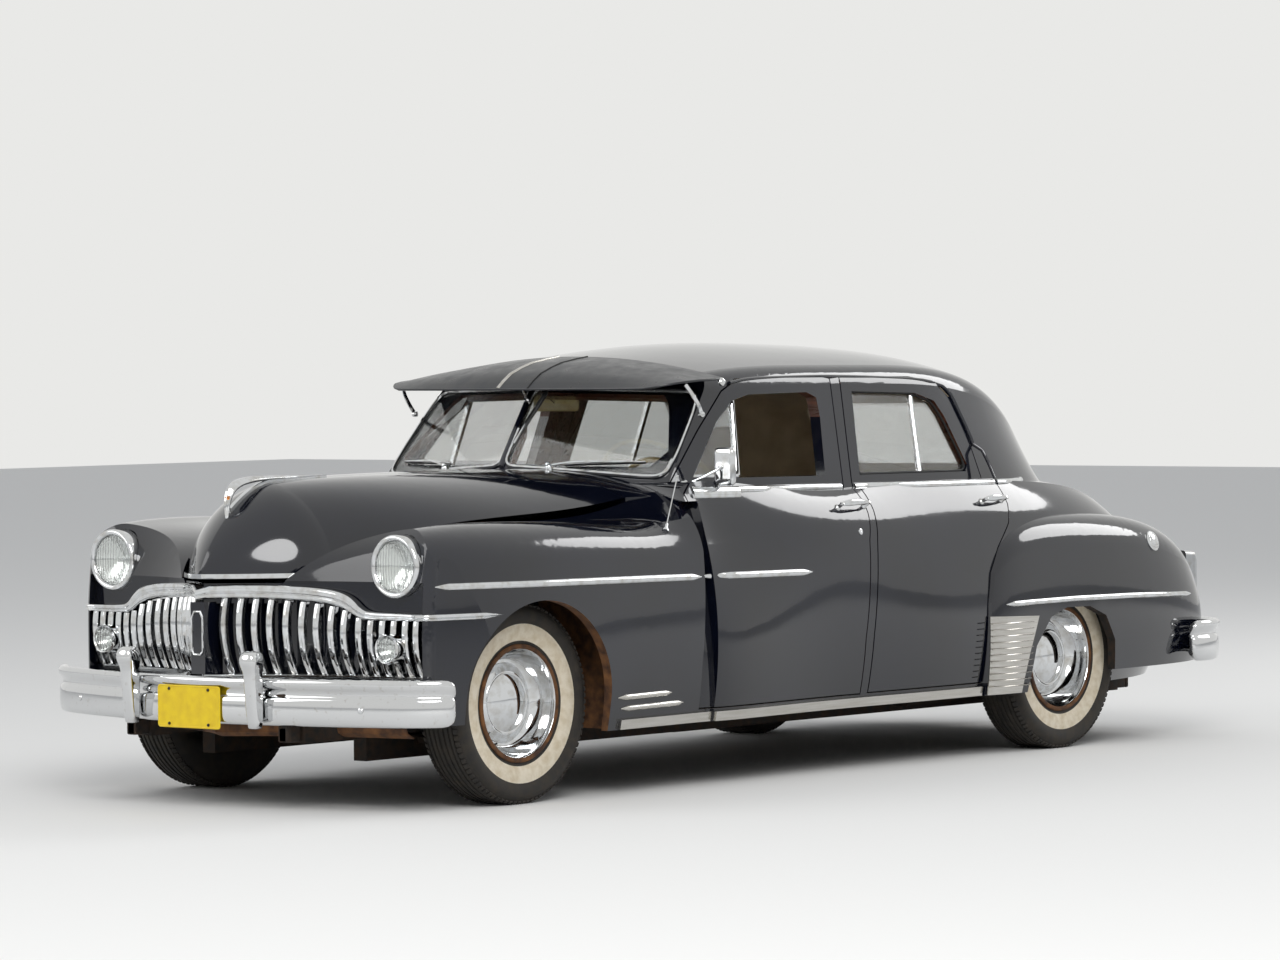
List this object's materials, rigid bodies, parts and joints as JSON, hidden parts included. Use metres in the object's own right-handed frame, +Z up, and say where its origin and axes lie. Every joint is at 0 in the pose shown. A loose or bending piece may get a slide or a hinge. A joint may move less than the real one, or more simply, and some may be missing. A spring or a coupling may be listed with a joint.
{
  "type": "four-door family saloon car of about 1950",
  "caption": "Full-size four-door saloon car, body on frame, with toothed grille, sun visor, steered front wheels and opening doors, hood and boot.",
  "frame": {"origin": "on the ground at the middle of the car's outer box", "axes": "+X forwards, +Y to the driver's (left) side, +Z up"},
  "size_m": [5.258, 1.9618, 1.6135],
  "materials": {
    "paint": "high gloss navy-black enamel",
    "chrome": "polished",
    "steel": "bright rolled stainless",
    "glass": "clear",
    "tyre": "black rubber with a cream side wall",
    "iron": "painted casting",
    "underbody": "dull black paint with rust",
    "cloth": "woven broadcloth",
    "dash": "satin enamel",
    "wheel_rim": "cream moulded rim",
    "plate": "yellow blank plate"
  },
  "bodies": {
    "body": {"body_shell": "paint", "front_fenders": "paint", "rear_fenders": "paint", "front_suspension": "underbody", "rear_axle": "underbody", "chassis_frame": "underbody", "front_bumper": "chrome", "rear_bumper": "chrome", "grille_surround": "chrome", "grille_teeth": "chrome", "grille_panel": "paint", "engine": "iron", "lamp_rims": "chrome", "lamp_lenses": "glass", "front_seat": "cloth", "rear_seat": "cloth", "sun_visor": "paint", "window_glass": "glass", "dashboard": "dash", "steering_column": "dash", "number_plate": "plate", "sill_trim": "steel", "tail_lamps": "chrome", "exhaust": "iron", "fuel_tank": "underbody"},
    "front_wheel_left_body": {"front_tyre_left": "tyre", "front_wheel_left": "chrome"},
    "front_wheel_right_body": {"front_tyre_right": "tyre", "front_wheel_right": "chrome"},
    "rear_wheel_left_body": {"rear_tyre_left": "tyre", "rear_wheel_left": "chrome"},
    "rear_wheel_right_body": {"rear_tyre_right": "tyre", "rear_wheel_right": "chrome"},
    "knuckle_left_body": {"knuckle_left": "iron"},
    "knuckle_right_body": {"knuckle_right": "iron"},
    "front_door_left_body": {"front_door_left": "paint", "front_glass_left": "glass", "door_mirror": "chrome"},
    "front_door_right_body": {"front_door_right": "paint", "front_glass_right": "glass"},
    "rear_door_left_body": {"rear_door_left": "paint", "rear_glass_left": "glass"},
    "rear_door_right_body": {"rear_door_right": "paint", "rear_glass_right": "glass"},
    "hood_body": {"hood": "paint", "hood_trim": "chrome"},
    "boot_lid_body": {"boot_lid": "paint"},
    "steering_wheel_body": {"steering_wheel": "wheel_rim"}
  },
  "joints": [
    {"name": "front_left_steer", "type": "hinge", "parent": "body", "child": "knuckle_left_body", "pos_m": [1.743, 0.618, 0.355], "axis": [0, 0, 1], "range_deg": [-30, 30]},
    {"name": "front_right_steer", "type": "hinge", "parent": "body", "child": "knuckle_right_body", "pos_m": [1.743, -0.618, 0.355], "axis": [0, 0, 1], "range_deg": [-30, 30]},
    {"name": "front_left_spin", "type": "hinge", "parent": "knuckle_left_body", "child": "front_wheel_left_body", "pos_m": [1.743, 0.712, 0.355], "axis": [0, 1, 0], "continuous": true},
    {"name": "front_right_spin", "type": "hinge", "parent": "knuckle_right_body", "child": "front_wheel_right_body", "pos_m": [1.743, -0.712, 0.355], "axis": [0, 1, 0], "continuous": true},
    {"name": "rear_left_spin", "type": "hinge", "parent": "body", "child": "rear_wheel_left_body", "pos_m": [-1.445, 0.757, 0.355], "axis": [0, 1, 0], "continuous": true},
    {"name": "rear_right_spin", "type": "hinge", "parent": "body", "child": "rear_wheel_right_body", "pos_m": [-1.445, -0.757, 0.355], "axis": [0, 1, 0], "continuous": true},
    {"name": "front_left_door", "type": "hinge", "parent": "body", "child": "front_door_left_body", "pos_m": [0.869, 0.93, 0.7], "axis": [0, 0, -1], "range_deg": [0, 65]},
    {"name": "front_right_door", "type": "hinge", "parent": "body", "child": "front_door_right_body", "pos_m": [0.869, -0.93, 0.7], "axis": [0, 0, 1], "range_deg": [0, 65]},
    {"name": "rear_left_door", "type": "hinge", "parent": "body", "child": "rear_door_left_body", "pos_m": [-0.141, 0.93, 0.7], "axis": [0, 0, -1], "range_deg": [0, 65]},
    {"name": "rear_right_door", "type": "hinge", "parent": "body", "child": "rear_door_right_body", "pos_m": [-0.141, -0.93, 0.7], "axis": [0, 0, 1], "range_deg": [0, 65]},
    {"name": "hood_hinge", "type": "hinge", "parent": "body", "child": "hood_body", "pos_m": [0.982, 0, 1.165], "axis": [0, -1, 0], "range_deg": [0, 50]},
    {"name": "boot_hinge", "type": "hinge", "parent": "body", "child": "boot_lid_body", "pos_m": [-1.832, 0, 1.09], "axis": [0, 1, 0], "range_deg": [0, 60]},
    {"name": "steering_wheel_turn", "type": "hinge", "parent": "body", "child": "steering_wheel_body", "pos_m": [0.395, 0.37, 0.985], "axis": [-0.8829, 0, 0.4695], "range_deg": [-540, 540]}
  ],
  "couplings": [
    {"joint": "front_right_steer", "follows": "front_left_steer", "ratio": 1},
    {"joint": "steering_wheel_turn", "follows": "front_left_steer", "ratio": 18}
  ]
}
